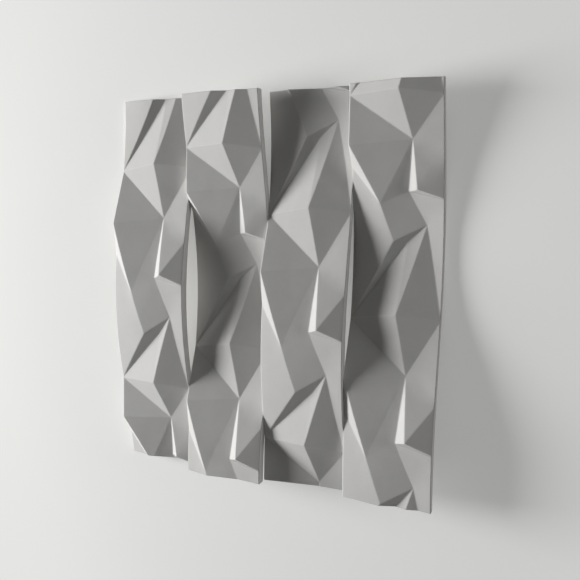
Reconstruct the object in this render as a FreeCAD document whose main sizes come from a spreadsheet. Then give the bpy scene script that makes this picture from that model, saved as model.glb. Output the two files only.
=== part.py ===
import FreeCAD, Part
import math
import os
from FreeCAD import Vector

# Faceted relief wall tile, cast as one piece: four strips side by side.
# All the strips have one master moulding, cut at a different height for each strip:
# a shell that bends out and in once in the length of its relief's pitch.
# Where a strip bends out its neighbour bends in, so slots open between them.
# The tile lies on its back: +Z is its face, +Y its top edge, +X its right side.

SIZES = [
    ("tile_height", 600, "top edge to bottom edge"),
    ("strip_width", 133, "one strip, side to side"),
    ("wall", 13, "thickness of a strip behind the relief's mean face"),
    ("relief_pitch", 665, "one long and one short figure of the relief, and one whole bend"),
    ("bend_rise", 21.5, "furthest that a strip bends out or in from the mean"),
    ("bend_crest", 357, "foremost point of the bend below the long figure's tip"),
    ("land_depth", 1, "flat for bonding, cut into the back's nearest points"),
    ("tip_a", -24, "long figure's tip below the tile's top edge, left strip"),
    ("tip_b", 260, "the same, second strip"),
    ("tip_c", 45, "the same, third strip"),
    ("tip_d", 196, "the same, right strip"),
]
STRIPS = "abcd"  # from left to right

# The relief is drawn on a strip of this width and pitch, and stretched to the sheet's.
DRAWN_WIDTH = 133
DRAWN_PITCH = 665

# Points of the relief: across from the left edge, down from the long figure's tip,
# and proud of the strip's mean face.
RELIEF = {
    "long_tip": (108, 0, -5.5),
    "long_shoulder": (81, 23, -4.5),
    "long_brow": (62, 23, 3),
    "long_crest": (71, 127, 11),
    "long_right_pit": (DRAWN_WIDTH, 134, -3.5),
    "long_left_pit": (0, 138, -7.5),
    "long_knot": (88, 214, -6),
    "long_left_peak": (0, 222, 8),
    "long_right_waist": (DRAWN_WIDTH, 251, -1),
    "long_left_foot": (0, 273, -6.5),
    "long_sliver": (95, 303, 10.5),
    "long_notch": (79, 309, -3),
    "long_right_foot": (DRAWN_WIDTH, 319, 1.5),
    "long_toe": (38, 334, 2),
    "short_tip": (107, 371, -4),
    "short_shoulder": (86, 399, -5.5),
    "short_brow": (61, 400, 4),
    "short_crest": (74, 482, 12),
    "short_left_pit": (0, 485, -7.5),
    "short_right_pit": (DRAWN_WIDTH, 490, -1.5),
    "short_knot": (89, 547, -2.5),
    "short_left_peak": (0, 553, 9.5),
    "short_right_waist": (DRAWN_WIDTH, 581, -1),
    "short_left_foot": (0, 584, -5),
    "short_sliver": (96, 616, 7),
    "short_notch": (82, 618, -5),
    "short_right_foot": (DRAWN_WIDTH, 629, 0.5),
    "short_toe": (42, 635, 4),
}

# Facets of one figure. A name with "next" belongs to the figure below.
FACETS = [
    ("tip", "shoulder", "crest"),
    ("shoulder", "left_pit", "crest"),
    ("left_pit", "crest", "knot"),
    ("brow", "tip", "shoulder"),
    ("brow", "shoulder", "left_pit"),
    ("tip", "crest", "right_pit"),
    ("crest", "knot", "right_pit"),
    ("left_pit", "knot", "left_peak"),
    ("left_peak", "knot", "toe"),
    ("knot", "toe", "notch"),
    ("knot", "notch", "sliver"),
    ("knot", "right_pit", "right_waist"),
    ("knot", "right_waist", "sliver"),
    ("sliver", "right_waist", "right_foot"),
    ("left_peak", "left_foot", "toe"),
    ("left_foot", "toe", "next brow"),
    ("left_foot", "next brow", "next left_pit"),
    ("toe", "notch", "next brow"),
    ("notch", "next tip", "next brow"),
    ("notch", "sliver", "right_foot"),
    ("notch", "right_foot", "next tip"),
    ("next tip", "right_foot", "next right_pit"),
]

WAVE_POINTS = 12  # points to each bend that the wave's curve passes through
WELD = 1e-4       # greatest gap between edges that are the same edge


def make_sheet(doc):
    sheet = doc.addObject("Spreadsheet::Sheet", "Sizes")
    for row, (name, value, meaning) in enumerate(SIZES, start=1):
        sheet.set(f"A{row}", name)
        sheet.set(f"B{row}", str(value))
        sheet.set(f"C{row}", meaning)
        sheet.setAlias(f"B{row}", name)
    doc.recompute()
    return sheet


class Wave:
    """The bend of a strip in depth, as a curve over the height, and edges lifted onto it."""

    def __init__(self, rise, length, crest_y, low_y, high_y):
        step = length / WAVE_POINTS
        count = math.ceil((high_y - low_y) / step) + 2
        heights = [low_y - step / 2 + step * number for number in range(count)]
        points = [Vector(0, y, rise * math.cos(2 * math.pi * (y - crest_y) / length)) for y in heights]
        self.curve = Part.BSplineCurve()
        self.curve.interpolate(Points=points, Parameters=heights)

    def depth(self, y):
        return self.curve.value(y).z

    def lifted(self, x, across_slope, z, depth_slope):
        """The wave with a straight line's x and z added to it."""
        poles = [
            Vector(x + across_slope * pole.y, pole.y, pole.z + z + depth_slope * pole.y)
            for pole in self.curve.getPoles()
        ]
        curve = Part.BSplineCurve()
        curve.buildFromPolesMultsKnots(
            poles, self.curve.getMultiplicities(), self.curve.getKnots(), False, self.curve.Degree
        )
        return curve

    def edge(self, start, end):
        """The edge over a straight line between two points given without the wave."""
        low, high = sorted((start, end), key=lambda point: point.y)
        rise = high.y - low.y
        if rise < WELD:
            lift = Vector(0, 0, self.depth(low.y))
            return Part.makeLine(start + lift, end + lift)
        across_slope = (high.x - low.x) / rise
        depth_slope = (high.z - low.z) / rise
        curve = self.lifted(
            low.x - across_slope * low.y, across_slope, low.z - depth_slope * low.y, depth_slope
        )
        return curve.toShape(low.y, high.y)

    def face(self, corners):
        """The face over a flat polygon: straight across, bent along the height."""
        normal = Vector(0, 0, 0)
        first = corners[0]
        for one, two in zip(corners[1:], corners[2:]):
            normal += (one - first).cross(two - first)
        across_slope = -normal.x / normal.z
        height_slope = -normal.y / normal.z
        level = first.z - across_slope * first.x - height_slope * first.y
        profile = self.lifted(0, 0, level, height_slope)
        surface = Part.SurfaceOfExtrusion(profile, Vector(1, 0, across_slope))
        face = Part.Face(surface, self.outline(corners))
        face.fix(WELD, WELD, WELD)
        return face

    def outline(self, corners):
        edges = [self.edge(one, two) for one, two in zip(corners, corners[1:] + corners[:1])]
        return Part.Wire(Part.sortEdges(edges)[0])


def clipped(corners, level, keep_above):
    """The part of a polygon above or below a height."""
    kept = []
    for one, two in zip(corners, corners[1:] + corners[:1]):
        one_in = (one.y >= level) if keep_above else (one.y <= level)
        two_in = (two.y >= level) if keep_above else (two.y <= level)
        if one_in:
            kept.append(one)
        if one_in != two_in:
            share = (level - one.y) / (two.y - one.y)
            kept.append(one + (two - one) * share)
    return [point for number, point in enumerate(kept) if point.distanceToPoint(kept[number - 1]) > WELD]


def relief_point(name, figure, sizes, shift):
    """A point of the relief, with the figure counted down from the first long one."""
    if name.startswith("next "):
        name = name[5:]
        figure += 1
    period, short = divmod(figure, 2)
    across, down, proud = RELIEF[("short_" if short else "long_") + name]
    x = across * sizes.strip_width / DRAWN_WIDTH
    y = -shift - period * sizes.relief_pitch - down * sizes.relief_pitch / DRAWN_PITCH
    return Vector(x, y, proud)


def relief_polygons(sizes, shift):
    """The flat facets of one strip, from its top edge at y = 0 down to its bottom edge."""
    bottom = -sizes.tile_height
    first = -2 * math.ceil((shift + sizes.relief_pitch) / sizes.relief_pitch)
    last = 2 * math.ceil((sizes.tile_height - shift) / sizes.relief_pitch) + 1
    polygons = []
    for figure in range(first, last):
        for names in FACETS:
            corners = [relief_point(name, figure, sizes, shift) for name in names]
            corners = clipped(corners, bottom, True)
            if len(corners) > 2:
                corners = clipped(corners, 0, False)
            if len(corners) > 2 and spread(corners) > WELD:
                polygons.append(corners)
    return polygons


def spread(corners):
    return max(point.y for point in corners) - min(point.y for point in corners)


def make_strip(sizes, tip):
    """One strip as a closed solid, its left top edge at the origin."""
    bottom = -sizes.tile_height
    wave = Wave(sizes.bend_rise, sizes.relief_pitch, -tip - sizes.bend_crest, bottom, 0)
    polygons = relief_polygons(sizes, tip)
    faces = [wave.face(corners) for corners in polygons]
    width = sizes.strip_width
    back = [Vector(x, y, -sizes.wall) for x, y in ((0, 0), (width, 0), (width, bottom), (0, bottom))]
    faces.append(wave.face(back))
    for x in (0, width):
        faces.append(rim_face(wave, polygons, back, lambda point: abs(point.x - x) < WELD))
    for y in (0, bottom):
        faces.append(rim_face(wave, polygons, back, lambda point: abs(point.y - y) < WELD))
    shell = Part.makeCompound(faces)
    shell.sewShape(WELD)
    return Part.makeSolid(shell.Shells[0] if shell.Shells else shell)


def rim_face(wave, polygons, back, on_rim):
    """The flat face of a strip's side or end, from the back to the relief."""
    edges = []
    ends = {}
    for corners in polygons:
        for one, two in zip(corners, corners[1:] + corners[:1]):
            if on_rim(one) and on_rim(two):
                edges.append(wave.edge(one, two))
                for point in (one, two):
                    key = (round(point.x, 3), round(point.y, 3))
                    ends.setdefault(key, []).append(point)
    rim_back = [point for point in back if on_rim(point)]
    edges.append(wave.edge(rim_back[0], rim_back[1]))
    for corner in rim_back:
        top = ends[(round(corner.x, 3), round(corner.y, 3))][0]
        lift = Vector(0, 0, wave.depth(corner.y))
        edges.append(Part.makeLine(corner + lift, top + lift))
    return Part.Face(Part.Wire(Part.sortEdges(edges)[0]))


def make_tile(doc, sheet):
    strips = []
    for number, letter in enumerate(STRIPS):
        strip = doc.addObject("Part::Feature", f"strip_{letter}")
        strip.Shape = make_strip(sheet, sheet.get(f"tip_{letter}"))
        left = (number - len(STRIPS) / 2) * sheet.strip_width
        base = sheet.bend_rise + sheet.wall - sheet.land_depth
        strip.Placement.Base = Vector(left, sheet.tile_height / 2, base)
        strips.append(strip)
    joined = doc.addObject("Part::MultiFuse", "joined_strips")
    joined.Shapes = strips
    joined.Refine = True
    below = doc.addObject("Part::Box", "below_the_lands")
    below.setExpression("Length", f"Sizes.strip_width * {len(STRIPS)} + 2 * Sizes.wall")
    below.setExpression("Width", "Sizes.tile_height + 2 * Sizes.wall")
    below.setExpression("Height", "Sizes.wall")
    below.setExpression(".Placement.Base.x", f"-Sizes.strip_width * {len(STRIPS)} / 2 - Sizes.wall")
    below.setExpression(".Placement.Base.y", "-Sizes.tile_height / 2 - Sizes.wall")
    below.setExpression(".Placement.Base.z", "-Sizes.wall")
    tile = doc.addObject("Part::Cut", "tile")
    tile.Base = joined
    tile.Tool = below
    tile.Label = "tile"
    return tile


def main():
    doc = FreeCAD.newDocument("wall_tile")
    sheet = make_sheet(doc)
    tile = make_tile(doc, sheet)
    doc.recompute()
    for item in doc.Objects:
        if "Invalid" in item.State or "Error" in item.State:
            raise RuntimeError(f"{item.Label} did not build: {item.State}")
    if tile.Shape.isNull() or not tile.Shape.isValid():
        raise RuntimeError("tile has no valid shape")
    os.makedirs("parts", exist_ok=True)
    tile.Shape.exportStep(f"parts/{tile.Label}.step")


main()
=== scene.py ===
"""The relief wall tile as it looks: one casting of gypsum plaster, lying on a pale studio floor."""

import math

import bpy
import numpy as np
from mathutils import Matrix, Vector
from mathutils.geometry import delaunay_2d_cdt


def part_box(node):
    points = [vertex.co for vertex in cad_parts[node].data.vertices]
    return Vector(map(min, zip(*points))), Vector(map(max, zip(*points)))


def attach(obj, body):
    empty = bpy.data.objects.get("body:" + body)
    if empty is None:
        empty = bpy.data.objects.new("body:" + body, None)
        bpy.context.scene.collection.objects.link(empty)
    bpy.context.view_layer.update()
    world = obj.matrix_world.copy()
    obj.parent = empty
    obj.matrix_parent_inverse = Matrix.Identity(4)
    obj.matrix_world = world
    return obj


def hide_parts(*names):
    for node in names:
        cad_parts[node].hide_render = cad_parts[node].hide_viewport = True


bl_info = {
    "name": "Relief Wall Tile",
    "version": (1, 0, 0),
    "blender": (4, 5, 0),
    "location": "View3D > Sidebar > Wall Tile",
    "description": "Casts a faceted plaster wall tile whose strips bend out and in by turns",
    "category": "Mesh",
}

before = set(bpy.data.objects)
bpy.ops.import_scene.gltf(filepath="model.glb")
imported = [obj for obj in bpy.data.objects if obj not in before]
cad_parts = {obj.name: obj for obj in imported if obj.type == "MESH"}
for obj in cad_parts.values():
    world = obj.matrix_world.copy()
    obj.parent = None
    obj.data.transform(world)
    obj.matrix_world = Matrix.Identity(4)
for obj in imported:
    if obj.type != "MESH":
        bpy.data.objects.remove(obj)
TILE_LOW, TILE_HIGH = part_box("tile")
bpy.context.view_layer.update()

STRIPS = 4
MM = 0.001

# The relief is drawn in millimetres on a strip of this width and pitch.
DRAWN_WIDTH = 133
DRAWN_PITCH = 665

# Points of the relief: across from the left edge, down from the long figure's tip,
# and proud of the strip's mean face.
RELIEF = {
    "long_tip": (108, 0, -5.5),
    "long_shoulder": (81, 23, -5.5),
    "long_brow": (62, 23, 3),
    "long_crest": (71, 127, 11),
    "long_right_pit": (DRAWN_WIDTH, 134, -3.5),
    "long_left_pit": (0, 138, -7.5),
    "long_knot": (88, 214, -6),
    "long_left_peak": (0, 222, 8),
    "long_right_waist": (DRAWN_WIDTH, 251, -1),
    "long_left_foot": (0, 273, -6.5),
    "long_sliver": (95, 303, 10.5),
    "long_notch": (79, 309, -3),
    "long_right_foot": (DRAWN_WIDTH, 319, 1.5),
    "long_toe": (38, 334, 2),
    "short_tip": (107, 371, -4),
    "short_shoulder": (86, 399, -4),
    "short_brow": (61, 400, 4),
    "short_crest": (74, 482, 12),
    "short_left_pit": (0, 485, -7.5),
    "short_right_pit": (DRAWN_WIDTH, 490, -1.5),
    "short_knot": (89, 547, -2.5),
    "short_left_peak": (0, 553, 9.5),
    "short_right_waist": (DRAWN_WIDTH, 581, -1),
    "short_left_foot": (0, 584, -5),
    "short_sliver": (96, 616, 7),
    "short_notch": (82, 618, -5),
    "short_right_foot": (DRAWN_WIDTH, 629, 0.5),
    "short_toe": (42, 635, 4),
}

# Flat facets of one figure. A name with "next" belongs to the figure below.
FACETS = [
    ("tip", "shoulder", "crest"),
    ("shoulder", "left_pit", "crest"),
    ("left_pit", "crest", "knot"),
    ("brow", "tip", "shoulder"),
    ("brow", "shoulder", "left_pit"),
    ("tip", "crest", "right_pit"),
    ("crest", "knot", "right_pit"),
    ("left_pit", "knot", "left_peak"),
    ("left_peak", "knot", "toe"),
    ("knot", "toe", "notch"),
    ("knot", "notch", "sliver"),
    ("knot", "right_pit", "right_waist"),
    ("knot", "right_waist", "sliver"),
    ("sliver", "right_waist", "right_foot"),
    ("left_peak", "left_foot", "toe"),
    ("notch", "sliver", "right_foot"),
    ("notch", "right_foot", "next tip"),
    ("next tip", "right_foot", "next right_pit"),
]

# Faces that twist by a few millimetres, by corner: straight lines rule each from the side
# between its first and fourth corners to the side between its second and third.
TWISTED = [
    ("toe", "notch", "next tip", "next brow"),
    ("left_foot", "toe", "next brow", "next left_pit"),
]

# Folds so soft that they show as a change of tone and not as a line, for the long figure
# and for the short one.
SOFT_FOLDS = (
    [("knot", "right_waist"), ("right_foot", "next tip")],
    [("knot", "right_waist"), ("sliver", "right_waist"), ("right_foot", "next tip")],
)

# The net of triangles, in millimetres
ROW_STEP = 5.0      # between points along an arris
FILL_STEP = 7.0     # between points inside a facet
FILL_CLEAR = 2.0    # from those points to the eased strip beside an arris or rim
MEET = 0.001        # points nearer than this are one point
JOIN = 0.005        # points of neighbouring strips nearer than this are joined
NARROW = 0.02       # rows and columns nearer than this are one
ROUND_STEPS = 4     # faces across a rounded rim
DISC_RINGS = ((0.5, 8), (1.0, 16))  # radius as a share, and points, of the softening disc's rings
END_STEPS = (-1, -0.5, 0, 0.5, 1)   # points about an arris at its end, as shares of its reach
BESIDE_STEPS = (-1, -0.6, -0.3, 0.3, 0.6, 1)  # lines beside an arris, likewise
FULL_EASE = 0.2     # height that the softening takes off a sharp arris, likewise
SHARP_ANGLE = math.radians(38)      # folds steeper than this are shaded as edges

# The camera, from the photo's vanishing points
PHOTO_TURN = (22.807, 7.528, 0.023)      # yaw, pitch and roll in degrees
PHOTO_SHIFT = (-0.0743, 0.0052, 1.9522)  # from the lens to the tile's middle, in tile widths
PHOTO_SCALE = 0.532                      # m, one tile width
MEAN_LEVEL = 0.0335                      # m, height of the tile's middle above its back

FLOOR_REACH = 6.0        # m, from the tile's middle to the floor's sides
FLOOR_FADE = (0.5, 1.0)  # m, where the floor begins to take the backdrop's tone, and has it


def linear(code):
    """An sRGB hex colour as linear red, green and blue."""
    shares = [int(code[i : i + 2], 16) / 255 for i in (0, 2, 4)]
    return [s / 12.92 if s <= 0.04045 else ((s + 0.055) / 1.055) ** 2.4 for s in shares]


def add_node(tree, kind, settings=None, inputs=None):
    """Adds a node. Each input, by name or number, is a value or the socket linked to it."""
    node = tree.nodes.new(kind)
    for name, value in (settings or {}).items():
        setattr(node, name, value)
    for name, value in (inputs or {}).items():
        if isinstance(value, bpy.types.NodeSocket):
            tree.links.new(value, node.inputs[name])
        else:
            node.inputs[name].default_value = value
    return node


def calculate(tree, operation, *values):
    return add_node(tree, "ShaderNodeMath", {"operation": operation}, dict(enumerate(values))).outputs[0]


def noise(tree, place, grain, detail, roughness=0.5):
    """Soft noise with spots of about one grain, in metres."""
    return add_node(
        tree, "ShaderNodeTexNoise",
        inputs={"Vector": place, "Scale": 1 / grain, "Detail": detail, "Roughness": roughness},
    ).outputs[0]


def ranged(tree, value, low, high, out_low, out_high):
    """A value from one range as the share of another, kept inside it."""
    return add_node(
        tree, "ShaderNodeMapRange", {"clamp": True},
        {"Value": value, "From Min": low, "From Max": high, "To Min": out_low, "To Max": out_high},
    ).outputs[0]


def tinted(tree, share, base, colour):
    """A colour, or a colour socket, with a share of another laid over it."""
    base = base if isinstance(base, bpy.types.NodeSocket) else (*base, 1)
    return add_node(
        tree, "ShaderNodeMix", {"data_type": "RGBA"}, {0: share, 6: base, 7: (*colour, 1)}
    ).outputs[2]


def bumped(tree, height, strength, distance, under=None, sunk=False):
    """A bump, metres deep, over another. Sunk turns it inward."""
    inputs = {"Height": height, "Strength": strength, "Distance": distance}
    if under is not None:
        inputs["Normal"] = under
    return add_node(tree, "ShaderNodeBump", {"invert": sunk}, inputs).outputs[0]


class TileSizes(bpy.types.PropertyGroup):
    """Real sizes of the casting."""

    tile_height: bpy.props.FloatProperty(
        name="Height", description="Top edge to bottom edge",
        default=TILE_HIGH.y - TILE_LOW.y, unit="LENGTH",
    )
    strip_width: bpy.props.FloatProperty(
        name="Strip width", description="One strip, side to side",
        default=(TILE_HIGH.x - TILE_LOW.x) / STRIPS, unit="LENGTH",
    )
    wall: bpy.props.FloatProperty(
        name="Wall", description="Thickness behind the relief's mean face",
        default=0.013, unit="LENGTH",
    )
    relief_pitch: bpy.props.FloatProperty(
        name="Relief pitch", description="One long and one short figure, and one whole bend",
        default=0.665, unit="LENGTH",
    )
    bend_rise: bpy.props.FloatProperty(
        name="Bend rise", description="Furthest that a strip bends out or in from the mean",
        default=0.0215, unit="LENGTH",
    )
    bend_crest: bpy.props.FloatProperty(
        name="Bend crest", description="Foremost point of the bend below the long figure's tip",
        default=0.357, unit="LENGTH",
    )
    land_depth: bpy.props.FloatProperty(
        name="Land depth", description="Flat for bonding, cut into the back's nearest points",
        default=0.001, unit="LENGTH",
    )
    tips: bpy.props.FloatVectorProperty(
        name="Tips", description="Long figure's tip below the top edge, strip by strip",
        default=(-0.024, 0.260, 0.045, 0.196), size=STRIPS, unit="LENGTH",
    )
    arris: bpy.props.FloatProperty(
        name="Arris", description="How far the softening reaches from a relief arris",
        default=0.0012, unit="LENGTH",
    )
    soft_fold: bpy.props.FloatProperty(
        name="Soft fold", description="How far it reaches from the folds that show no line",
        default=0.014, unit="LENGTH",
    )
    rim: bpy.props.FloatProperty(
        name="Rim rounding", description="Radius on the strips' outer edges",
        default=0.0015, unit="LENGTH",
    )


class PlasterFinish(bpy.types.PropertyGroup):
    """Colours and grain of the cast plaster."""

    face: bpy.props.FloatVectorProperty(
        name="Mould face", description="Plaster that set against the mould",
        default=linear("DEDDDB"), size=3, subtype="COLOR",
    )
    rubbed: bpy.props.FloatVectorProperty(
        name="Rubbed arris", description="Arrises that handling has polished",
        default=linear("EAE9E7"), size=3, subtype="COLOR",
    )
    # Darker tone for the random mottling, and painted shade in the valleys, pores and pits.
    mottle_and_shade: bpy.props.FloatVectorProperty(
        name="Mottle and painted shade", description="Darker mottling, and painted shade in valleys, pores and pits",
        default=linear("BDBBB7"), size=3, subtype="COLOR",
    )
    back: bpy.props.FloatVectorProperty(
        name="Poured back", description="Open side of the mould, struck off by hand",
        default=linear("D3D0CA"), size=3, subtype="COLOR",
    )
    pore_spacing: bpy.props.FloatProperty(
        name="Pore spacing", description="Between cells that may hold an air pore",
        default=0.011, unit="LENGTH",
    )


class StudioLook(bpy.types.PropertyGroup):
    """Floor, light and lens."""

    floor: bpy.props.FloatVectorProperty(
        name="Floor", description="Matt painted floor", default=linear("E4E4E2"),
        size=3, subtype="COLOR",
    )
    key_watts: bpy.props.FloatProperty(
        name="Key light", description="Wide soft box, low on the tile's left", default=204.0, min=0,
    )
    key_rise: bpy.props.FloatProperty(
        name="Key rise", description="Angle of the soft box above the floor",
        default=math.radians(19), subtype="ANGLE",
    )
    side_watts: bpy.props.FloatProperty(
        name="Side light", description="Weak soft box, low on the tile's right", default=10.0, min=0,
    )
    floor_lift: bpy.props.FloatProperty(
        name="Floor lift", description="Brightness that only the camera sees on the floor",
        default=0.34, min=0,
    )
    fill: bpy.props.FloatProperty(
        name="Fill", description="Light from all round", default=0.078, min=0,
    )
    lens: bpy.props.FloatProperty(
        name="Lens", description="Focal length on a 36 mm sensor", default=42.2,
        unit="CAMERA",
    )


class Moulding:
    """One strip of the tile in millimetres, drawn flat: across, down, and height of its face."""

    def __init__(self, sizes, number):
        self.width = sizes.strip_width / MM
        self.height = sizes.tile_height / MM
        self.pitch = sizes.relief_pitch / MM
        self.wall = sizes.wall / MM
        self.rise = sizes.bend_rise / MM
        self.land = sizes.land_depth / MM
        self.arris = sizes.arris / MM
        self.soft_fold = sizes.soft_fold / MM
        self.rim = sizes.rim / MM
        self.tip = sizes.tips[number] / MM
        self.crest = sizes.bend_crest / MM
        self.facets = self.laid(FACETS)
        self.twists = self.laid(TWISTED)
        self.soft_folds = [
            np.array([self.laid_point(name, figure)[:2] for name in names])
            for figure in self.figures()
            for names in SOFT_FOLDS[figure % 2]
        ]
        self.crisp_folds = self.arrises()
        self.left_side = None
        self.right_side = None

    def laid_point(self, name, figure):
        if name.startswith("next "):
            name = name[5:]
            figure += 1
        period, short = divmod(figure, 2)
        across, down, proud = RELIEF[("short_" if short else "long_") + name]
        x = across * self.width / DRAWN_WIDTH
        y = self.tip + period * self.pitch + down * self.pitch / DRAWN_PITCH
        return (x, y, proud)

    def figures(self):
        """Numbers of the figures that can reach into the strip's height: even ones are long."""
        first = -2 * math.ceil((self.tip + self.pitch) / self.pitch)
        return range(first, 2 * math.ceil((self.height - self.tip) / self.pitch) + 2)

    def laid(self, kind):
        """Corners of the faces of one kind that reach into the strip's height."""
        reach = self.soft_fold
        laid = []
        for figure in self.figures():
            for names in kind:
                corners = np.array([self.laid_point(name, figure) for name in names])
                if corners[:, 1].max() > -reach and corners[:, 1].min() < self.height + reach:
                    laid.append(corners)
        return np.array(laid)

    def relief(self, points):
        """Height of the sharp relief at points across and down."""
        heights = np.full(len(points), np.nan)
        for find, faces in ((flat_heights, self.facets), (twisted_heights, self.twists)):
            for corners in faces:
                low = corners[:, :2].min(axis=0) - MEET
                high = corners[:, :2].max(axis=0) + MEET
                near = np.flatnonzero(
                    np.all((points >= low) & (points <= high), axis=1) & np.isnan(heights)
                )
                if len(near):
                    inside, found = find(corners, points[near])
                    heights[near[inside]] = found[inside]
        return heights

    def softened(self, points):
        """Height of the relief with its arrises eased, as the mean over a small disc."""
        radius = self.easing(points)
        room = np.minimum(points[:, 0], self.width - points[:, 0])
        reach = np.column_stack([np.clip(room, 0, radius), radius])
        steps = np.array([[0.0, 0.0]] + [
            [share * math.cos(turn), share * math.sin(turn)]
            for share, turns in DISC_RINGS
            for turn in np.arange(turns) * math.tau / turns
        ])
        weights = np.array([0.5] + [share for share, turns in DISC_RINGS for _ in range(turns)])
        around = points[None] + steps[:, None] * reach[None]
        heights = self.relief(around.reshape(-1, 2)).reshape(len(steps), len(points))
        return weights @ heights / weights.sum()

    def easing(self, points):
        """Radius of the softening: wide by the soft folds, as far as no crisp one is reached."""
        soft = self.soft_fold - nearest(points, self.soft_folds)
        return np.maximum(self.arris, np.minimum(soft, nearest(points, self.crisp_folds)))

    def bend(self, down):
        return self.rise * np.cos(math.tau * (down - self.tip - self.crest) / self.pitch)

    def rim_drop(self, points, left_exposed, right_exposed):
        """How far a rounded rim falls below the face."""
        left = (self.rim - points[:, 0]).clip(0) * left_exposed
        right = (self.rim - (self.width - points[:, 0])).clip(0) * right_exposed
        end = (self.rim - np.minimum(points[:, 1], self.height - points[:, 1])).clip(0)
        into = np.hypot(np.maximum(left, right), end).clip(0, self.rim)
        return self.rim - np.sqrt(self.rim**2 - into**2)

    def border_points(self, side, down):
        return np.column_stack([np.full(len(down), self.width if side else 0.0), down])

    def sharp_border(self, side, down):
        """Height of the bent face on one side, before its rim is rounded."""
        return self.softened(self.border_points(side, down)) + self.bend(down)

    def exposure(self, down, back):
        """How free the strip's left and right rims stand, 0 to 1, at each height."""
        free = []
        for side, neighbour in ((0, self.left_side), (1, self.right_side)):
            if neighbour is None:
                free.append(np.ones(len(down)))
            elif back:
                free.append((neighbour.bend(down) - self.bend(down)) / (2 * self.rim))
            else:
                step = self.sharp_border(side, down) - neighbour.sharp_border(1 - side, down)
                free.append(step / (2 * self.rim))
        return [np.clip(share, 0, 1) for share in free]

    def face_heights(self, points):
        """Flat height of the face, and how much the softening has taken off or added."""
        down = points[:, 1]
        rows, place = np.unique(down.round(4), return_inverse=True)
        left, right = [share[place.ravel()] for share in self.exposure(rows, False)]
        eased = self.softened(points)
        drop = self.rim_drop(points, left, right)
        crisp = self.easing(points) <= self.arris
        taken = (self.relief(points) - eased) * crisp
        # The second value marks ridges and rims for the rubbed colour, and valleys for painted shade.
        return eased - drop, taken / (FULL_EASE * self.arris) + drop / self.rim

    def back_heights(self, points):
        left, right = self.exposure(points[:, 1], True)
        drop = self.rim_drop(points, left, right)
        return drop - self.wall, drop / self.rim

    def border(self, side, down, back):
        """Bent height of the finished face or back along one side."""
        points = self.border_points(side, down)
        flat = self.back_heights(points)[0] if back else self.face_heights(points)[0]
        return flat + self.bend(down)

    def rounding_offsets(self):
        """Distances from a rim of the rows that its rounding needs."""
        return [
            self.rim * (1 - math.cos(math.pi / 2 * step / ROUND_STEPS))
            for step in range(1, ROUND_STEPS)
        ] + [self.rim]

    def arrises(self):
        """Every crisp edge between two faces, once, as pairs of points across and down."""
        edges = {}
        soft = [sorted(tuple(end.round(3)) for end in fold) for fold in self.soft_folds]
        for face in [*self.facets, *self.twists]:
            for one, two in zip(face, np.roll(face, -1, axis=0)):
                ends = sorted([tuple(one[:2].round(3)), tuple(two[:2].round(3))])
                on_side = ends[0][0] == ends[1][0] and ends[0][0] in (0.0, round(self.width, 3))
                if not on_side and ends not in soft:
                    edges[tuple(ends)] = True
        return [np.array(pair) for pair in edges]


def flat_heights(corners, points):
    """Which points lie in a triangle, and its height at each."""
    one, two, three = corners
    sides = np.array([two[:2] - one[:2], three[:2] - one[:2]]).T
    shares = (points - one[:2]) @ np.linalg.inv(sides).T
    inside = (shares.min(axis=1) > -1e-5) & (shares.sum(axis=1) < 1 + 1e-5)
    return inside, one[2] + shares @ np.array([two[2] - one[2], three[2] - one[2]])


def twisted_heights(corners, points):
    """Which points lie in a face ruled by straight lines, and its height at each."""
    first, second, third, fourth = corners
    over, along, twist = second - first, fourth - first, third - second - fourth + first
    away = points - first[:2]
    # the share of the way along at which a ruling passes through the point
    square = -crossed(along, twist)
    slope = crossed(away, twist) - crossed(along, over)
    level = crossed(away, over)
    root = np.sqrt((slope**2 - 4 * square * level).clip(0))
    down = -2 * level / (slope + np.sign(crossed(over, along)) * root)
    ruling = over[:2] + down[:, None] * twist[:2]
    across = ((away - down[:, None] * along[:2]) * ruling).sum(axis=1) / (ruling**2).sum(axis=1)
    near = 1e-5
    inside = (down > -near) & (down < 1 + near) & (across > -near) & (across < 1 + near)
    return inside, first[2] + across * over[2] + down * along[2] + across * down * twist[2]


def nearest(points, lines):
    """Distance from each point to the nearest of some lines."""
    found = np.full(len(points), np.inf)
    for one, two in lines:
        step = two - one
        share = ((points - one) @ step / (step @ step)).clip(0, 1)
        found = np.minimum(found, np.hypot(*(points - one - share[:, None] * step).T))
    return found


def crossed(one, two):
    return one[..., 0] * two[..., 1] - one[..., 1] * two[..., 0]


def clipped(one, two, low, high):
    """The part of a line between two corners of a box, or None."""
    start, end = 0.0, 1.0
    step = two - one
    for axis in (0, 1):
        if abs(step[axis]) < 1e-9:
            if not low[axis] <= one[axis] <= high[axis]:
                return None
            continue
        near, far = sorted(((low[axis] - one[axis]) / step[axis], (high[axis] - one[axis]) / step[axis]))
        start, end = max(start, near), min(end, far)
    if end - start < 1e-6:
        return None
    return one + step * start, one + step * end


def crossings(first, second, height):
    """Heights where two curves along the strip cross."""
    down = np.linspace(0, height, math.ceil(height) + 1)
    found = []
    for low, high in bracketed(first(down) - second(down), down):
        finer = np.linspace(low, high, 101)
        gap = first(finer) - second(finer)
        for start, end in bracketed(gap, finer):
            near, far = np.interp([start, end], finer, gap)
            found.append(start + (end - start) * near / (near - far))
    return found


def bracketed(gap, down):
    """The steps in which a gap changes its sign."""
    turns = np.flatnonzero(np.sign(gap[1:]) * np.sign(gap[:-1]) < 0)
    return [(down[turn], down[turn + 1]) for turn in turns]


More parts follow.
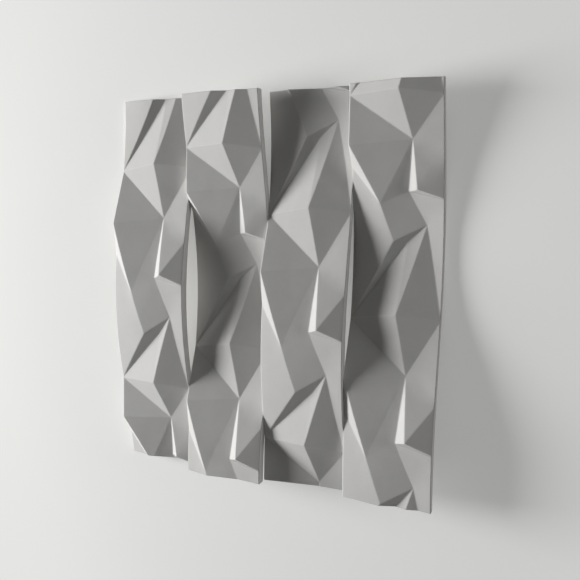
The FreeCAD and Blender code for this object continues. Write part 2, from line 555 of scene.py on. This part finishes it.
def shared_rows(strips):
    """Heights at which every strip's sides have a point."""
    height = strips[0].height
    needed = [0.0, height]
    offsets = strips[0].rounding_offsets()
    needed += offsets + [height - offset for offset in offsets]
    for left, right in zip(strips, strips[1:]):
        for back_left in (False, True):
            for back_right in (False, True):
                needed += crossings(
                    lambda down: left.border(1, down, back_left),
                    lambda down: right.border(0, down, back_right),
                    height,
                )
    for strip in strips:
        level = strip.land - strip.rise
        needed += crossings(strip.bend, lambda down: np.full(len(down), level), height)
        for corner in [*strip.facets.reshape(-1, 3), *strip.twists.reshape(-1, 3)]:
            if corner[0] in (0.0, strip.width):
                needed += [corner[1] + strip.arris * share for share in END_STEPS]
    return stepped(needed, height, ROW_STEP)


def end_columns(strip, level, lines):
    """Places across at which one end of a strip has a point."""
    offsets = strip.rounding_offsets()
    needed = [0.0, strip.width] + offsets + [strip.width - offset for offset in offsets]
    for one, two in lines:
        if (one[1] - level) * (two[1] - level) < 0:
            share = (level - one[1]) / (two[1] - one[1])
            x = one[0] + (two[0] - one[0]) * share
            needed += [x + strip.arris * part for part in END_STEPS]
    return stepped(needed, strip.width, FILL_STEP)


def stepped(needed, end, step):
    """Places from 0 to an end: those needed, less any too near the last, and steps between."""
    needed = sorted(place for place in needed if 0 <= place <= end)
    kept = [needed[0]]
    for place in needed[1:]:
        if place - kept[-1] > NARROW:
            kept.append(place)
    kept[-1] = end
    full = []
    for low, high in zip(kept, kept[1:]):
        count = max(1, math.ceil((high - low) / step))
        full += [low + (high - low) * part / count for part in range(count)]
    return np.array(full + [end])


class Drawing:
    """Points and lines in the plane that become a net of triangles."""

    def __init__(self):
        self.points = []
        self.lines = []

    def add_line(self, places):
        start = len(self.points)
        self.points += [tuple(place) for place in places]
        self.lines += [(number, number + 1) for number in range(start, len(self.points) - 1)]

    def add_segment(self, one, two, step):
        count = max(1, math.ceil(np.hypot(*(two - one)) / step))
        self.add_line([one + (two - one) * part / count for part in range(count + 1)])

    def net(self):
        points = [Vector(point) for point in self.points]
        found = delaunay_2d_cdt(points, self.lines, [], 0, MEET)
        places = np.array([tuple(point) for point in found[0]], float).round(3) + 0.0
        # points that meet become one, and the triangles between them go
        places, numbers = np.unique(places, axis=0, return_inverse=True)
        numbers = numbers.ravel()
        triangles = [[int(numbers[corner]) for corner in triangle] for triangle in found[2]]
        return places, [triangle for triangle in triangles if len(set(triangle)) == 3]


def draw_sheet(strip, rows, top, bottom, with_relief):
    """The net of a strip's face, or of its plain back."""
    drawing = Drawing()
    width, height = strip.width, strip.height
    for x in [0.0, width]:
        drawing.add_line([(x, row) for row in rows])
    drawing.add_line([(x, 0.0) for x in top])
    drawing.add_line([(x, height) for x in bottom])
    for offset in strip.rounding_offsets():
        for x in (offset, width - offset):
            drawing.add_line([(x, row) for row in rows if offset <= row <= height - offset])
        for level, columns in ((offset, top), (height - offset, bottom)):
            drawing.add_line([(x, level) for x in columns if offset <= x <= width - offset])
    lines = strip.arrises() if with_relief else []
    inner = strip.rim
    for one, two in lines:
        kept = clipped(one, two, (0, 0), (width, height))
        if kept:
            drawing.add_segment(*(on_border(end, strip, rows, top, bottom) for end in kept), ROW_STEP)
        along = (two - one) / np.hypot(*(two - one))
        across = np.array([-along[1], along[0]])
        for share in BESIDE_STEPS:
            moved = across * strip.arris * share
            kept = clipped(one + moved, two + moved, (inner, inner), (width - inner, height - inner))
            if kept:
                drawing.add_segment(*kept, ROW_STEP)
    drawing.points += fill_points(strip, lines)
    return drawing.net()


def on_border(point, strip, rows, top, bottom):
    """A point, moved to the nearest point of the border if it lies on the border."""
    x, down = point
    if min(x, strip.width - x) < MEET:
        x = 0.0 if x < MEET else strip.width
        down = rows[abs(rows - down).argmin()]
    if min(down, strip.height - down) < MEET:
        columns, down = (top, 0.0) if down < MEET else (bottom, strip.height)
        x = columns[abs(columns - x).argmin()]
    return np.array([x, down])


def fill_points(strip, lines):
    """A loose grid of points inside the facets, clear of every arris and rim."""
    columns = math.ceil(strip.width / FILL_STEP)
    rows = math.ceil(strip.height / FILL_STEP)
    grid = np.array([
        ((column + 0.5 * (row % 2) + 0.25) * strip.width / columns, (row + 0.5) * strip.height / rows)
        for row in range(rows)
        for column in range(columns)
    ])
    clear = strip.rim + FILL_CLEAR
    kept = (grid > clear).all(axis=1) & (grid[:, 0] < strip.width - clear)
    kept &= grid[:, 1] < strip.height - clear
    grid = grid[kept]
    return [tuple(point) for point in grid[nearest(grid, lines) > strip.arris + FILL_CLEAR]]


class Casting:
    """The whole tile as one closed mesh, flat, with each point's own bend still to come."""

    def __init__(self, sizes):
        self.strips = [Moulding(sizes, number) for number in range(STRIPS)]
        for left, right in zip(self.strips, self.strips[1:]):
            left.right_side = right
            right.left_side = left
        self.places = []
        self.tips = []
        self.eased = []
        self.polygons = []
        self.backs = []
        self.borders = []
        self.rows = shared_rows(self.strips)
        for number, strip in enumerate(self.strips):
            self.add_strip(number, strip)
        for number in range(STRIPS + 1):
            self.add_side(number)
        for number in range(STRIPS):
            self.add_ends(number)

    def add_points(self, strip, number, points, heights, eased):
        start = len(self.places)
        left = (number - STRIPS / 2) * strip.width
        for (x, down), height in zip(points, heights):
            self.places.append((left + x, strip.height / 2 - down, height))
        self.tips += [strip.tip] * len(points)
        self.eased += list(eased)
        return start

    def add_strip(self, number, strip):
        lines = strip.arrises()
        top = end_columns(strip, 0.0, lines)
        bottom = end_columns(strip, strip.height, lines)
        sheets = []
        for back in (False, True):
            points, triangles = draw_sheet(strip, self.rows, top, bottom, not back)
            heights, eased = strip.back_heights(points) if back else strip.face_heights(points)
            start = self.add_points(strip, number, points, heights, eased)
            for triangle in triangles:
                one, two, three = (points[corner] for corner in triangle)
                turn = (two[0] - one[0]) * (three[1] - one[1]) - (two[1] - one[1]) * (three[0] - one[0])
                # down runs against y, so a clockwise drawing faces up
                corners = [start + corner for corner in triangle]
                if (turn > 0) != back:
                    corners.reverse()
                self.add_polygon(corners, back)
            sheets.append(self.sheet_borders(strip, points, start, top, bottom))
        self.borders.append(sheets)

    def sheet_borders(self, strip, points, start, top, bottom):
        """Numbers of the points along the left, right, top and bottom of a sheet."""
        found = []
        for axis, level, expected in (
            (0, 0.0, self.rows), (0, strip.width, self.rows), (1, 0.0, top), (1, strip.height, bottom),
        ):
            on = np.flatnonzero(abs(points[:, axis] - level) < MEET)
            on = on[np.argsort(points[on, 1 - axis])]
            if len(on) != len(expected):
                raise RuntimeError(f"a border has {len(on)} points, not {len(expected)}")
            found.append([start + int(number) for number in on])
        return dict(zip(("left", "right", "top", "bottom"), found))

    def add_polygon(self, corners, back=False):
        self.polygons.append(corners)
        self.backs.append(back)

    def side_curves(self, number):
        """The curves along one side plane: the face and back of each strip that meets it."""
        curves = []
        for strip, side, name in ((number - 1, 1, "right"), (number, 0, "left")):
            if 0 <= strip < STRIPS:
                for back in (False, True):
                    heights = self.strips[strip].border(side, self.rows, back)
                    curves.append((heights, self.borders[strip][back][name], side, back))
        return curves

    def add_side(self, number):
        """The side walls where one strip stands clear of the next."""
        curves = self.side_curves(number)
        for row in range(len(self.rows) - 1):
            order = sorted(curves, key=lambda curve: curve[0][row] + curve[0][row + 1])
            inside = {0: False, 1: False}
            for lower, upper in zip(order, order[1:]):
                inside[lower[2]] = not inside[lower[2]]
                if inside[0] == inside[1]:
                    continue
                corners = [lower[1][row], lower[1][row + 1], upper[1][row + 1], upper[1][row]]
                if inside[1]:
                    corners.reverse()
                self.add_polygon(corners)

    def add_ends(self, number):
        """The top and bottom faces of a strip."""
        face, back = self.borders[number]
        for end, row in (("top", 0), ("bottom", -1)):
            for column in range(len(face[end]) - 1):
                corners = [
                    face[end][column], face[end][column + 1], back[end][column + 1], back[end][column],
                ]
                if column == 0:
                    corners = corners + self.between(number, number, row, True)
                if column == len(face[end]) - 2:
                    corners = corners[:2] + self.between(number, number + 1, row, False) + corners[2:]
                if end == "bottom":
                    corners.reverse()
                self.add_polygon(corners)

    def between(self, number, plane, row, rising):
        """The neighbour's points that lie on an end face's upright edge, in order."""
        curves = self.side_curves(plane)
        own_side = 1 if plane > number else 0
        own = [curve[0][row] for curve in curves if curve[2] == own_side]
        met = [
            (curve[0][row], curve[1][row])
            for curve in curves
            if curve[2] != own_side and min(own) + MEET < curve[0][row] < max(own) - MEET
        ]
        met.sort(reverse=not rising)
        return [point for _, point in met]

    def mesh(self, name):
        mesh = bpy.data.meshes.new(name)
        mesh.from_pydata([Vector(place) * MM for place in self.places], [], self.polygons)
        for label, values in (("tip", [tip * MM for tip in self.tips]), ("eased", self.eased)):
            mesh.attributes.new(label, "FLOAT", "POINT").data.foreach_set("value", values)
        mesh.attributes.new("poured_back", "BOOLEAN", "FACE").data.foreach_set("value", self.backs)
        return mesh


def bending_tree(face_material, back_material):
    """Nodes that bend every strip out and in along its height, each from its own tip."""
    tree = bpy.data.node_groups.new("Bend the strips", "GeometryNodeTree")
    tree.is_modifier = True
    sockets = tree.interface
    sockets.new_socket(name="Moulding", in_out="INPUT", socket_type="NodeSocketGeometry")
    for name in ("Half height", "Relief pitch", "Bend crest", "Bend rise", "Mean level"):
        socket = sockets.new_socket(name=name, in_out="INPUT", socket_type="NodeSocketFloat")
        socket.subtype = "DISTANCE"
    sockets.new_socket(name="Casting", in_out="OUTPUT", socket_type="NodeSocketGeometry")
    given = add_node(tree, "NodeGroupInput").outputs
    place = add_node(
        tree, "ShaderNodeSeparateXYZ",
        inputs={0: add_node(tree, "GeometryNodeInputPosition").outputs[0]},
    ).outputs
    tip = add_node(
        tree, "GeometryNodeInputNamedAttribute", {"data_type": "FLOAT"}, {"Name": "tip"}
    ).outputs["Attribute"]
    down = calculate(tree, "SUBTRACT", given["Half height"], place["Y"])
    crest = calculate(tree, "ADD", tip, given["Bend crest"])
    turns = calculate(tree, "DIVIDE", calculate(tree, "SUBTRACT", down, crest), given["Relief pitch"])
    swing = calculate(tree, "COSINE", calculate(tree, "MULTIPLY", turns, math.tau))
    bend = calculate(tree, "MULTIPLY_ADD", swing, given["Bend rise"], place["Z"])
    level = calculate(tree, "ADD", bend, given["Mean level"])
    landed = calculate(tree, "MAXIMUM", level, 0.0)
    bent = add_node(
        tree, "ShaderNodeCombineXYZ", inputs={"X": place["X"], "Y": place["Y"], "Z": landed}
    ).outputs[0]
    moved = add_node(
        tree, "GeometryNodeSetPosition", inputs={"Geometry": given["Moulding"], "Position": bent}
    ).outputs[0]
    joined = add_node(
        tree, "GeometryNodeMergeByDistance", inputs={"Geometry": moved, "Distance": JOIN * MM}
    ).outputs[0]
    faced = add_node(
        tree, "GeometryNodeSetMaterial", inputs={"Geometry": joined, "Material": face_material}
    ).outputs[0]
    poured = add_node(
        tree, "GeometryNodeInputNamedAttribute", {"data_type": "BOOLEAN"}, {"Name": "poured_back"}
    ).outputs["Attribute"]
    backed = add_node(
        tree, "GeometryNodeSetMaterial",
        inputs={"Geometry": faced, "Selection": poured, "Material": back_material},
    ).outputs[0]
    add_node(tree, "NodeGroupOutput", inputs={"Casting": backed})
    return tree


def plain_mesh(piece, tree, values):
    """The piece's mesh as its node tree makes it, with the inputs set by name."""
    modifier = piece.modifiers.new(tree.name, "NODES")
    modifier.node_group = tree
    for item in tree.interface.items_tree:
        if item.item_type == "SOCKET" and item.in_out == "INPUT" and item.name in values:
            modifier[item.identifier] = values[item.name]
    graph = bpy.context.evaluated_depsgraph_get()
    made = bpy.data.meshes.new_from_object(
        piece.evaluated_get(graph), preserve_all_data_layers=True, depsgraph=graph
    )
    piece.modifiers.remove(modifier)
    return made


def start_material(name):
    material = bpy.data.materials.new(name)
    material.use_nodes = True
    tree = material.node_tree
    tree.nodes.clear()
    return material, tree


def mould_face_material(finish):
    """Gypsum plaster set against a smooth rubber mould: off-white, matt, and even."""
    # It scatters light like chalk, with next to no gloss, a cloudy tone a few per cent deep,
    # and a few air pores under a millimetre wide.
    material, tree = start_material("cast_gypsum_mould_face")
    place = add_node(tree, "ShaderNodeTexCoord").outputs["Object"]
    cloud = noise(tree, place, 0.07, 3.0, 0.55)
    mottle = noise(tree, place, 0.009, 5.0, 0.6)
    both = calculate(tree, "MULTIPLY_ADD", mottle, 0.45, cloud)
    base = tinted(tree, ranged(tree, both, 0.45, 1.0, 0.0, 0.22), finish.face, finish.mottle_and_shade)
    # Ridges and rims take the rubbed colour. The valleys, where the softening fills a crease, are
    # painted darker as painted shade.
    eased = add_node(tree, "ShaderNodeAttribute", {"attribute_name": "eased"}).outputs["Fac"]
    ridge = ranged(tree, eased, 0.05, 0.9, 0.0, 0.7)
    valley = ranged(tree, eased, -0.05, -0.9, 0.0, 0.5)
    mottle_and_shade = tinted(tree, valley, tinted(tree, ridge, base, finish.rubbed), finish.mottle_and_shade)
    cells = add_node(
        tree, "ShaderNodeTexVoronoi", inputs={"Vector": place, "Scale": 1 / finish.pore_spacing}
    ).outputs
    lot = add_node(tree, "ShaderNodeSeparateColor", inputs={0: cells["Color"]}).outputs[0]
    # a pore in about one cell of eight, up to 0.7 mm in radius
    radius = ranged(tree, lot, 0.87, 1.0, 0.0, 0.0007 / finish.pore_spacing)
    pore = calculate(tree, "LESS_THAN", cells["Distance"], radius)
    # Each pore is painted darker: painted shade inside it.
    colour = tinted(tree, calculate(tree, "MULTIPLY", pore, 0.55), mottle_and_shade, finish.mottle_and_shade)
    grain = noise(tree, place, 0.0016, 3.0)
    swell = noise(tree, place, 0.035, 1.0)
    uneven = bumped(tree, swell, 0.5, 0.0009, bumped(tree, grain, 0.5, 0.00012))
    pitted = bumped(tree, pore, 0.6, 0.0004, uneven, sunk=True)
    roughness = ranged(tree, mottle, 0.0, 1.0, 0.94, 0.8)
    shader = add_node(
        tree, "ShaderNodeBsdfPrincipled",
        inputs={"Base Color": colour, "Roughness": roughness, "IOR": 1.52, "Normal": pitted,
                "Specular IOR Level": 0.3},
    ).outputs[0]
    add_node(tree, "ShaderNodeOutputMaterial", inputs={"Surface": shader})
    return material


def poured_back_material(finish):
    """The same plaster on the open side of the mould, struck off with a straight edge."""
    # It is rougher and duller than the face, with drag lines across the tile and open pores.
    material, tree = start_material("cast_gypsum_poured_back")
    place = add_node(tree, "ShaderNodeTexCoord").outputs["Object"]
    drawn = add_node(
        tree, "ShaderNodeMapping", inputs={"Vector": place, "Scale": (1 / 0.09, 1 / 0.004, 1 / 0.09)}
    ).outputs[0]
    drag = noise(tree, drawn, 1.0, 4.0)
    lumps = noise(tree, place, 0.02, 6.0)
    pits = add_node(
        tree, "ShaderNodeTexVoronoi", inputs={"Vector": place, "Scale": 1 / 0.006}
    ).outputs["Distance"]
    pit = ranged(tree, pits, 0.0, 0.14, 1.0, 0.0)
    # The pits are painted darker as painted shade in them, and the lumps darken the tone at random.
    tone = calculate(tree, "MULTIPLY_ADD", pit, 0.5, lumps)
    colour = tinted(tree, ranged(tree, tone, 0.35, 1.0, 0.0, 0.8), finish.back, finish.mottle_and_shade)
    lumpy = bumped(tree, lumps, 0.6, 0.001, bumped(tree, drag, 0.7, 0.0012))
    pitted = bumped(tree, pit, 0.6, 0.0006, lumpy, sunk=True)
    shader = add_node(
        tree, "ShaderNodeBsdfPrincipled",
        inputs={"Base Color": colour, "Roughness": 0.95, "IOR": 1.52, "Normal": pitted,
                "Specular IOR Level": 0.25},
    ).outputs[0]
    add_node(tree, "ShaderNodeOutputMaterial", inputs={"Surface": shader})
    return material


def seen_directly(tree):
    """1 for what the camera sees, itself or in something glossy or clear, and 0 for light."""
    rays = add_node(tree, "ShaderNodeLightPath").outputs
    seen = calculate(tree, "MAXIMUM", rays["Is Camera Ray"], rays["Is Glossy Ray"])
    return calculate(tree, "MAXIMUM", seen, rays["Is Transmission Ray"])


def floor_material(look):
    """A studio floor in matt emulsion: pale, even, without gloss."""
    # The key light only rakes it, so what the camera sees of it is lifted, which keeps the
    # background pale and lets the tile's shadow show, and adds no light to the tile.
    material, tree = start_material("matt_painted_floor")
    place = add_node(tree, "ShaderNodeTexCoord").outputs["Object"]
    stipple = bumped(tree, noise(tree, place, 0.002, 2.0), 0.2, 0.0001)
    shader = add_node(
        tree, "ShaderNodeBsdfPrincipled",
        inputs={"Base Color": (*look.floor, 1), "Roughness": 0.9, "Normal": stipple},
    ).outputs[0]
    seen = seen_directly(tree)
    lift = calculate(tree, "MULTIPLY", seen, look.floor_lift)
    glow = add_node(
        tree, "ShaderNodeEmission", inputs={"Color": (*look.floor, 1), "Strength": lift}
    ).outputs[0]
    lifted = add_node(tree, "ShaderNodeAddShader", inputs={0: shader, 1: glow}).outputs[0]
    # Well away from the tile the camera sees the backdrop's tone, so there is no horizon.
    away = add_node(tree, "ShaderNodeVectorMath", {"operation": "LENGTH"}, {0: place}).outputs["Value"]
    far = add_node(
        tree, "ShaderNodeMapRange", {"interpolation_type": "SMOOTHSTEP"},
        {"Value": away, "From Min": FLOOR_FADE[0], "From Max": FLOOR_FADE[1]},
    ).outputs[0]
    backdrop = add_node(
        tree, "ShaderNodeEmission", inputs={"Color": (*look.floor, 1), "Strength": 1.0}
    ).outputs[0]
    faded = add_node(
        tree, "ShaderNodeMixShader",
        inputs={0: calculate(tree, "MULTIPLY", seen, far), 1: lifted, 2: backdrop},
    ).outputs[0]
    add_node(tree, "ShaderNodeOutputMaterial", inputs={"Surface": faded})
    return material


class WALLTILE_OT_cast(bpy.types.Operator):
    """Cast the tile: four strips of one relief moulding in a single piece of plaster"""

    bl_idname = "wall_tile.cast"
    bl_label = "Cast the tile"

    def execute(self, context):
        sizes, finish = context.scene.tile_sizes, context.scene.plaster_finish
        mesh = Casting(sizes).mesh("flat_moulding")
        tile = bpy.data.objects.new("cast_relief_tile", mesh)
        context.scene.collection.objects.link(tile)
        tree = bending_tree(mould_face_material(finish), poured_back_material(finish))
        tile.data = plain_mesh(tile, tree, {
            "Half height": sizes.tile_height / 2,
            "Relief pitch": sizes.relief_pitch,
            "Bend crest": sizes.bend_crest,
            "Bend rise": sizes.bend_rise,
            "Mean level": sizes.bend_rise + sizes.wall - sizes.land_depth,
        })
        tile.data.name = "cast_relief_tile"
        tile.data.shade_smooth()
        tile.data.set_sharp_from_angle(angle=SHARP_ANGLE)
        evened = tile.modifiers.new("Even shading", "WEIGHTED_NORMAL")
        evened.keep_sharp = True
        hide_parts("tile")
        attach(tile, "root")
        return {"FINISHED"}


class WALLTILE_OT_studio(bpy.types.Operator):
    """Lay the floor and set the light and the camera"""

    bl_idname = "wall_tile.studio"
    bl_label = "Set the studio"

    def execute(self, context):
        look = context.scene.studio_look
        self.lay_floor(context, look)
        self.set_light(context, look)
        self.set_camera(context, look)
        return {"FINISHED"}

    def lay_floor(self, context, look):
        reach = FLOOR_REACH
        mesh = bpy.data.meshes.new("studio_floor")
        corners = [(-reach, -reach, 0), (reach, -reach, 0), (reach, reach, 0), (-reach, reach, 0)]
        mesh.from_pydata(corners, [], [(0, 1, 2, 3)])
        mesh.materials.append(floor_material(look))
        floor = bpy.data.objects.new("studio_floor", mesh)
        context.scene.collection.objects.link(floor)

    def set_light(self, context, look):
        for name, watts, size, reach, bearing, rise in (
            ("key_softbox", look.key_watts, 1.8, 4.0, math.radians(178.5), look.key_rise),
            ("side_softbox", look.side_watts, 0.6, 3.0, math.radians(4), math.radians(9)),
        ):
            add_softbox(context, name, watts, size, reach, bearing, rise)
        world = context.scene.world or bpy.data.worlds.new("studio")
        context.scene.world = world
        world.use_nodes = True
        tree = world.node_tree
        tree.nodes.clear()
        fill = add_node(
            tree, "ShaderNodeBackground", inputs={"Color": (1, 1, 1, 1), "Strength": look.fill}
        ).outputs[0]
        backdrop = add_node(
            tree, "ShaderNodeBackground", inputs={"Color": (*look.floor, 1), "Strength": 1.0}
        ).outputs[0]
        mixed = add_node(
            tree, "ShaderNodeMixShader", inputs={0: seen_directly(tree), 1: fill, 2: backdrop}
        ).outputs[0]
        add_node(tree, "ShaderNodeOutputWorld", inputs={"Surface": mixed})
        context.scene.view_settings.view_transform = "Standard"

    def set_camera(self, context, look):
        lens = bpy.data.cameras.new("photo_view")
        lens.sensor_width = 36
        lens.lens = look.lens
        camera = bpy.data.objects.new("photo_view", lens)
        context.scene.collection.objects.link(camera)
        camera.matrix_world = photo_view()
        context.scene.camera = camera


def add_softbox(context, name, watts, size, reach, bearing, rise):
    """A round soft box that faces the tile, at a bearing from +X and an angle above the floor."""
    lamp = bpy.data.lights.new(name, "AREA")
    lamp.shape = "DISK"
    lamp.size = size
    lamp.energy = watts
    box = bpy.data.objects.new(name, lamp)
    context.scene.collection.objects.link(box)
    level = math.cos(rise)
    away = Vector((level * math.cos(bearing), level * math.sin(bearing), math.sin(rise)))
    target = Vector((0, 0, 0.03))
    turn = away.to_track_quat("Z", "Y").to_matrix().to_4x4()
    box.matrix_world = Matrix.Translation(target + away * reach) @ turn


def photo_view():
    """The camera's place and turn: right of the tile and a little below its middle."""
    yaw, pitch, roll = (math.radians(angle) for angle in PHOTO_TURN)
    level = Matrix(((1, 0, 0), (0, 0, -1), (0, -1, 0)))
    swap = Matrix(((1, 0, 0), (0, 0, 1), (0, 1, 0)))
    turn = (
        Matrix.Rotation(roll, 3, "Z") @ Matrix.Rotation(pitch, 3, "X")
        @ level @ Matrix.Rotation(yaw, 3, "Z") @ swap
    )
    place = Vector((0, 0, MEAN_LEVEL)) - turn.transposed() @ Vector(PHOTO_SHIFT) * PHOTO_SCALE
    flip = Matrix(((1, 0, 0), (0, -1, 0), (0, 0, -1)))
    return Matrix.Translation(place) @ (flip @ turn).transposed().to_4x4()


class WALLTILE_PT_sidebar(bpy.types.Panel):
    bl_label = "Relief Wall Tile"
    bl_idname = "WALLTILE_PT_sidebar"
    bl_space_type = "VIEW_3D"
    bl_region_type = "UI"
    bl_category = "Wall Tile"

    def draw(self, context):
        for group in (
            context.scene.tile_sizes, context.scene.plaster_finish, context.scene.studio_look,
        ):
            box = self.layout.box()
            for name in group.__annotations__:
                box.prop(group, name)
        self.layout.operator("wall_tile.cast")
        self.layout.operator("wall_tile.studio")


CLASSES = (
    TileSizes, PlasterFinish, StudioLook, WALLTILE_OT_cast, WALLTILE_OT_studio, WALLTILE_PT_sidebar,
)


def register():
    for item in CLASSES:
        bpy.utils.register_class(item)
    bpy.types.Scene.tile_sizes = bpy.props.PointerProperty(type=TileSizes)
    bpy.types.Scene.plaster_finish = bpy.props.PointerProperty(type=PlasterFinish)
    bpy.types.Scene.studio_look = bpy.props.PointerProperty(type=StudioLook)


def unregister():
    del bpy.types.Scene.studio_look
    del bpy.types.Scene.plaster_finish
    del bpy.types.Scene.tile_sizes
    for item in reversed(CLASSES):
        bpy.utils.unregister_class(item)


def main():
    register()
    bpy.ops.wall_tile.cast()
    bpy.ops.wall_tile.studio()


if __name__ == "__main__":
    main()
